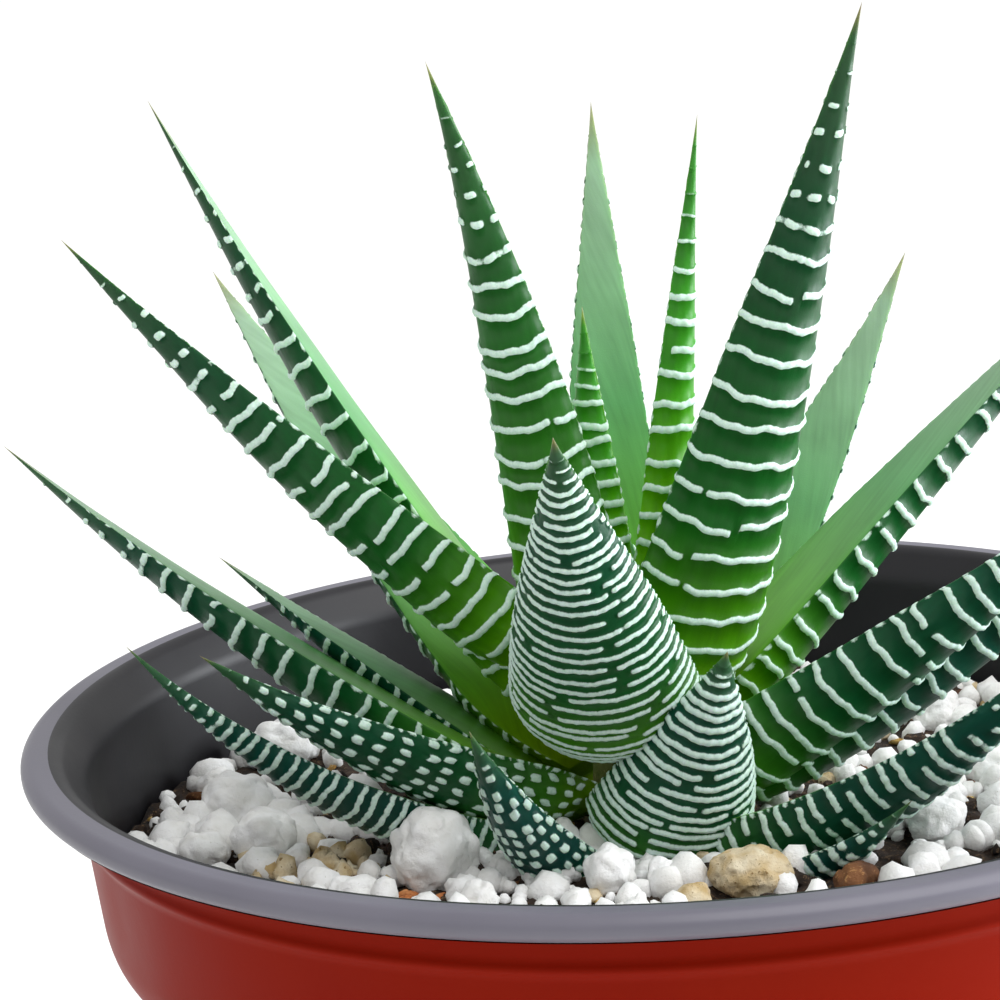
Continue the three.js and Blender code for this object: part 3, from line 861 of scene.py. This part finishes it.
def mineral_material(name, colours, spottiness, grain_size, depth, glow=0):
    """Rough mineral or plant matter: colour in patches and specks, no shine, pitted all over.

    colours are its dark and light patches and its specks, and more of it is specks as spottiness
    rises. Pits are grain_size across and depth deep. glow is how much light passes into it.
    """
    dark, light, spot = colours
    material, node = new_material(name)
    place = node("TexCoord", out="Object")
    size = per_metre(4 * grain_size)
    patches = node("TexNoise", {"Vector": place, "Scale": size, "Detail": 4.0}, "Fac")
    fine = {"Scale": per_metre(grain_size), "Detail": 4.0, "Roughness": 0.7}
    grain = node("TexNoise", {"Vector": place, **fine}, "Fac")
    mixed = node("MapRange", {"Value": patches, "From Min": 0.35, "From Max": 0.65})
    base = node("Mix", {"Factor": mixed, "A": dark, "B": light}, data_type="RGBA")
    spots = {"From Min": 0.62 - spottiness, "From Max": 0.68 - spottiness}
    specks = node("MapRange", {"Value": grain, **spots})
    base = node("Mix", {"Factor": specks, "A": base, "B": spot}, data_type="RGBA")
    relief = node("Bump", {"Height": grain, "Strength": 0.8, "Distance": depth * MM})
    values = {
        "Base Color": base,
        "Roughness": 0.9,
        "IOR": 1.5,
        "Normal": relief,
        "Subsurface Weight": glow,
        "Subsurface Radius": (1, 1, 1),
        "Subsurface Scale": 0.8 * MM,
    }
    node("OutputMaterial", {"Surface": node("BsdfPrincipled", values)})
    return material


# ---------------------------------------------------------------- the plant in its pot

LEAF_NAMES = names_like("leaf")

leaf_finish = leaf_skin_material()
for leaf_name in LEAF_NAMES:
    make_leaf(leaf_name, leaf_finish)

# The outside is one even red with hardly any shine
body_plastic = plastic_material(
    "thermoformed terracotta polypropylene", "#801200", "#8c2004", roughness=0.34, shine=0.05
)
# The black lip is painted a soft bluish grey, a painted reflection of the white surround on its top,
# with a little dust over it
lip_plastic = plastic_material(
    # Both greys here stand in for sheen: the lip's own plastic is black
    "black polypropylene lip, grey of painted sheen", "#66646f", "#7c7a85", roughness=0.34, shine=0.5
)
# The inside keeps its black, and a broad soft shine
inside_plastic = plastic_material(
    "thermoformed black polypropylene", "#131216", "#2a292f", roughness=0.36, shine=0.4
)
make_pot(body_plastic, lip_plastic, inside_plastic)

# Damp peat is dark brown and crumbly, with paler fibres
peat = mineral_material(
    "moist peat potting mix",
    ("#1f1712", "#3c2c20", "#6b543c"),
    spottiness=0.06, grain_size=0.5, depth=0.5
)
# Puffed glass is bright white and chalky, and light passes a little way into it
perlite = mineral_material(
    "expanded perlite, puffed volcanic glass",
    ("#efeeeb", "#fcfcfc", "#d2cfc7"),
    spottiness=-0.04, grain_size=0.5, depth=0.25, glow=0.2
)
# A broken face of pumice is tan and full of pores
pumice = mineral_material(
    "broken pumice",
    ("#c3a877", "#e9dcc0", "#8f7345"),
    spottiness=0.02, grain_size=0.5, depth=0.35, glow=0.05
)
# Composted bark is dull brown, with paler fibres where it split
bark = mineral_material(
    "composted bark chips",
    ("#4a2c18", "#7b4f2c", "#a77a4a"),
    spottiness=0.03, grain_size=0.6, depth=0.4
)
# Heat has opened vermiculite into golden flakes
vermiculite = mineral_material(
    "exfoliated vermiculite flakes",
    ("#9a7434", "#d6b56a", "#efdca6"),
    spottiness=0.05, grain_size=0.4, depth=0.3
)
# The same flakes where iron has rusted them to orange
rusty = mineral_material(
    "iron-stained vermiculite",
    ("#b5622a", "#e0a068", "#8c4a22"),
    spottiness=0.03, grain_size=0.4, depth=0.3
)
# An old stem dries to a dull olive cork
stem_bark = mineral_material(
    "corky succulent stem",
    ("#6f7f3c", "#8c8a52", "#b3a876"),
    spottiness=0.03, grain_size=0.6, depth=0.3
)

make_soil(peat)
for grain_name in names_like("perlite"):
    make_grain(grain_name, grain_name + "_grain", perlite, (2.6, 1.0), (0.9, 0.5))
for grain_name in names_like("pumice"):
    make_grain(grain_name, grain_name + "_grain", pumice, (2.2, 0.6), (0.7, 0.7))
for grain_name in names_like("bark"):
    make_grain(grain_name, grain_name + "_chip", bark, (3.0, 0.4), (0.8, 0.5))

scatter_crumbs(
    "soil_crumbs", peat, seed=3,
    count=560, sizes=(0.8, 2.6), flatness=0.8, rough=0.7
)
scatter_crumbs(
    "perlite_crumbs", perlite, seed=4,
    count=580, sizes=(1.2, 4.6), flatness=0.85, rough=0.32
)
scatter_crumbs(
    "pumice_crumbs", pumice, seed=5,
    count=120, sizes=(0.8, 2.8), flatness=0.8, rough=0.6
)
scatter_crumbs(
    "bark_crumbs", bark, seed=6,
    count=90, sizes=(1.0, 3.4), flatness=0.4, rough=0.6
)
scatter_crumbs(
    "vermiculite_crumbs", vermiculite, seed=7,
    count=110, sizes=(0.8, 2.0), flatness=0.45, rough=0.5
)
scatter_crumbs(
    "front_perlite", perlite, seed=8,
    count=100, sizes=(1.4, 3.8), flatness=0.9, rough=0.32, heap=(-12, -20, 6)
)
scatter_crumbs(
    "left_perlite", perlite, seed=9,
    count=60, sizes=(2.2, 5.2), flatness=0.9, rough=0.36, heap=(-41, 3, 5)
)
scatter_crumbs(
    "right_perlite", perlite, seed=10,
    count=100, sizes=(1.8, 4.4), flatness=0.9, rough=0.36, heap=(27, 2, 8)
)
scatter_crumbs(
    "left_pumice", pumice, seed=11,
    count=40, sizes=(1.2, 3.2), flatness=0.85, rough=0.6, heap=(-33, -9, 3)
)
scatter_crumbs(
    "left_vermiculite", rusty, seed=12,
    count=10, sizes=(1.2, 2.2), flatness=0.5, rough=0.5, heap=(-25, -18, 1.2)
)
scatter_crumbs(
    "right_bark", bark, seed=13,
    count=14, sizes=(1.6, 3.4), flatness=0.6, rough=0.6, heap=(24, 8, 2.5)
)

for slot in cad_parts["stem"].material_slots:
    slot.material = stem_bark

# ---------------------------------------------------------------- floor, light and camera

FLOOR_SIZE = 16.0  # metres
FLOOR_LEVEL = -0.2 * MM  # just under the pot's foot


def make_floor():
    """White card, rolled smooth and matt: it shows soft shadows and no shine."""
    material, node = new_material("matt white card")
    place = node("TexCoord", out="Object")
    fibre = node("TexNoise", {"Vector": place, "Scale": per_metre(2), "Detail": 3.0}, "Fac")
    rough = node("MapRange", {"Value": fibre, "To Min": 0.85, "To Max": 1.0})
    values = {"Base Color": "#f4f4f2", "Roughness": rough, "Specular IOR Level": 0.1}
    node("OutputMaterial", {"Surface": node("BsdfPrincipled", values)})
    half = FLOOR_SIZE / 2
    corners = [(x * half, y * half, FLOOR_LEVEL) for x, y in ((-1, -1), (1, -1), (1, 1), (-1, 1))]
    mesh = bpy.data.meshes.new("floor")
    mesh.from_pydata(corners, [], [(0, 1, 2, 3)])
    mesh.materials.append(material)
    floor = bpy.data.objects.new("floor", mesh)
    bpy.context.scene.collection.objects.link(floor)


def soft_box(name, place, size, power, colour):
    """A square soft light that faces the middle of the plant."""
    light = bpy.data.lights.new(name, "AREA")
    light.shape = "SQUARE"
    light.size = size
    light.energy = power
    light.color = linear(colour)[:3]
    lamp = bpy.data.objects.new(name, light)
    bpy.context.scene.collection.objects.link(lamp)
    lamp.location = place
    middle = Vector((0, 0, 0.1))
    lamp.rotation_euler = (middle - Vector(place)).to_track_quat("-Z", "Y").to_euler()


def make_lights():
    """An even white surround, broad daylight from the front right, and a window on the right."""
    world = bpy.data.worlds.new("even white studio")
    world.use_nodes = True
    surround = world.node_tree.nodes["Background"].inputs
    surround["Color"].default_value = linear("#ffffff")
    surround["Strength"].default_value = 0.72
    bpy.context.scene.world = world
    daylight = bpy.data.lights.new("daylight", "SUN")
    daylight.energy = 1.7
    daylight.angle = math.radians(50)
    lamp = bpy.data.objects.new("daylight", daylight)
    bpy.context.scene.collection.objects.link(lamp)
    lamp.rotation_euler = Vector((-0.45, 0.3, -1)).to_track_quat("-Z", "Y").to_euler()
    soft_box("window", (0.6, 0.05, 0.22), 0.4, 6.0, "#f6faff")
    bpy.context.scene.view_settings.view_transform = "Standard"


# Where the camera looks, how far off it stands, and how it is tilted
AIM = Vector((-13.9, 4.2, 121.4)) * MM
DISTANCE = 300.9 * MM
ELEVATION = math.radians(12.97)
ROLL = math.radians(-3.89)
LENS = 115.2


def make_camera():
    camera = bpy.data.objects.new("camera", bpy.data.cameras.new("camera"))
    bpy.context.scene.collection.objects.link(camera)
    camera.data.lens = LENS
    camera.data.clip_start = 0.01
    camera.data.clip_end = 50
    back = Vector((0, -math.cos(ELEVATION), math.sin(ELEVATION)))
    camera.location = AIM + DISTANCE * back
    facing = (-back).to_track_quat("-Z", "Y").to_matrix()
    camera.rotation_euler = (facing @ Euler((0, 0, ROLL)).to_matrix()).to_euler()
    bpy.context.scene.camera = camera


make_floor()
make_lights()
make_camera()
